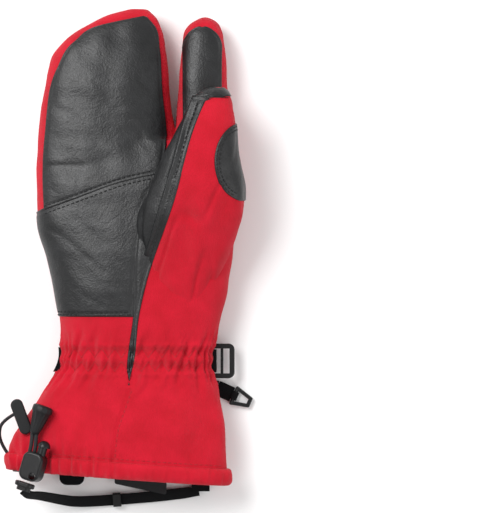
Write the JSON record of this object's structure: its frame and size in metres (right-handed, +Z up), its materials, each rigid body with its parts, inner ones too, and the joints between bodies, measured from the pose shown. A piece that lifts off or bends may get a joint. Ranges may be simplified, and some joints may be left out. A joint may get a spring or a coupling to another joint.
{
  "type": "ski mitten",
  "caption": "Insulated right-hand ski mitten with separate index finger and thumb, leather palm, gathered wrist, strap buckle, flared drawcord cuff and leash with cord lock.",
  "frame": {"origin": "middle of the footprint, on the surface the mitten lies on", "axes": "+Z up out of the palm, +Y towards the fingertips, +X towards the thumb side"},
  "size_m": [0.1677, 0.3311, 0.0623],
  "materials": {
    "red_softshell": "matt",
    "black_leather": "satin",
    "insulation": "matt",
    "lining": "matt",
    "webbing": "matt",
    "elastic": "matt",
    "cord": "matt",
    "plastic": "satin",
    "moulded_rubber": "matt",
    "spring_steel": "bright",
    "label_cloth": "matt"
  },
  "bodies": {
    "hand": {"palm_panel_upper": "black_leather", "palm_panel_heel": "black_leather", "hand_strip": "black_leather", "hand_shell": "red_softshell", "hand_insulation": "insulation", "hand_lining": "lining"},
    "mitt": {"mitt_leather": "black_leather", "mitt_shell": "red_softshell", "mitt_insulation": "insulation", "mitt_lining": "lining"},
    "index": {"index_leather": "black_leather", "index_shell": "red_softshell", "index_insulation": "insulation", "index_lining": "lining"},
    "thumb": {"thumb_patch": "black_leather", "thumb_shell": "red_softshell", "thumb_leather": "black_leather", "thumb_insulation": "insulation", "thumb_lining": "lining"},
    "cuff": {"cuff_strip": "black_leather", "cuff_front_shell": "red_softshell", "cuff_back_shell": "red_softshell", "wrist_elastic": "elastic", "cuff_lining": "lining", "hem_band": "red_softshell", "hem_drawcord": "cord", "wrist_strap": "webbing", "strap_anchor": "webbing", "strap_loop": "webbing", "strap_tail": "webbing", "tail_root": "webbing", "pull_on_tab": "webbing", "blank_label": "label_cloth", "leash_webbing": "webbing", "leash_anchor": "webbing", "lock_body": "plastic", "lock_spring": "spring_steel", "leash_cap": "plastic", "leash_cord_left": "cord", "leash_cord_right": "cord", "cord_end": "moulded_rubber", "drawcord_loop": "cord", "drawcord_pull": "moulded_rubber"},
    "buckle": {"ladder_lock": "plastic"},
    "ring": {"tail_ring": "plastic"},
    "slider": {"leash_slider": "plastic"},
    "button": {"lock_button": "plastic"}
  },
  "joints": [
    {"name": "wrist_flex", "type": "hinge", "parent": "hand", "child": "cuff", "pos_m": [0, -0.048, 0.02], "axis": [-1, 0, 0], "range_deg": [0, 25]},
    {"name": "mitt_curl", "type": "hinge", "parent": "hand", "child": "mitt", "pos_m": [0, 0.073, 0.016], "axis": [1, 0, 0], "range_deg": [0, 32]},
    {"name": "index_spread", "type": "hinge", "parent": "hand", "child": "index", "pos_m": [0.0665, 0.073, 0.016], "axis": [0, 0, -1], "range_deg": [0, 12]},
    {"name": "thumb_lift", "type": "hinge", "parent": "hand", "child": "thumb", "pos_m": [0, 0.006, 0.049], "axis": [1, 0, 0], "range_deg": [0, 25]},
    {"name": "buckle_hinge", "type": "hinge", "parent": "cuff", "child": "buckle", "pos_m": [0.0544, -0.0728, 0.0105], "axis": [0, -1, 0], "range_deg": [-20, 55]},
    {"name": "ring_hinge", "type": "hinge", "parent": "cuff", "child": "ring", "pos_m": [0.06901, -0.09613, 0.0025], "axis": [-0.4067, -0.9135, 0], "range_deg": [0, 120]},
    {"name": "slider_slide", "type": "slide", "parent": "cuff", "child": "slider", "axis": [0.997, 0.0772, 0], "range_m": [0, 0.011]},
    {"name": "button_press", "type": "slide", "parent": "cuff", "child": "button", "axis": [-0.28, -0.96, 0.0003], "range_m": [0, 0.004], "stiffness_N_per_m": 600, "springref_m": -0.002, "deforming": ["lock_spring"]}
  ]
}
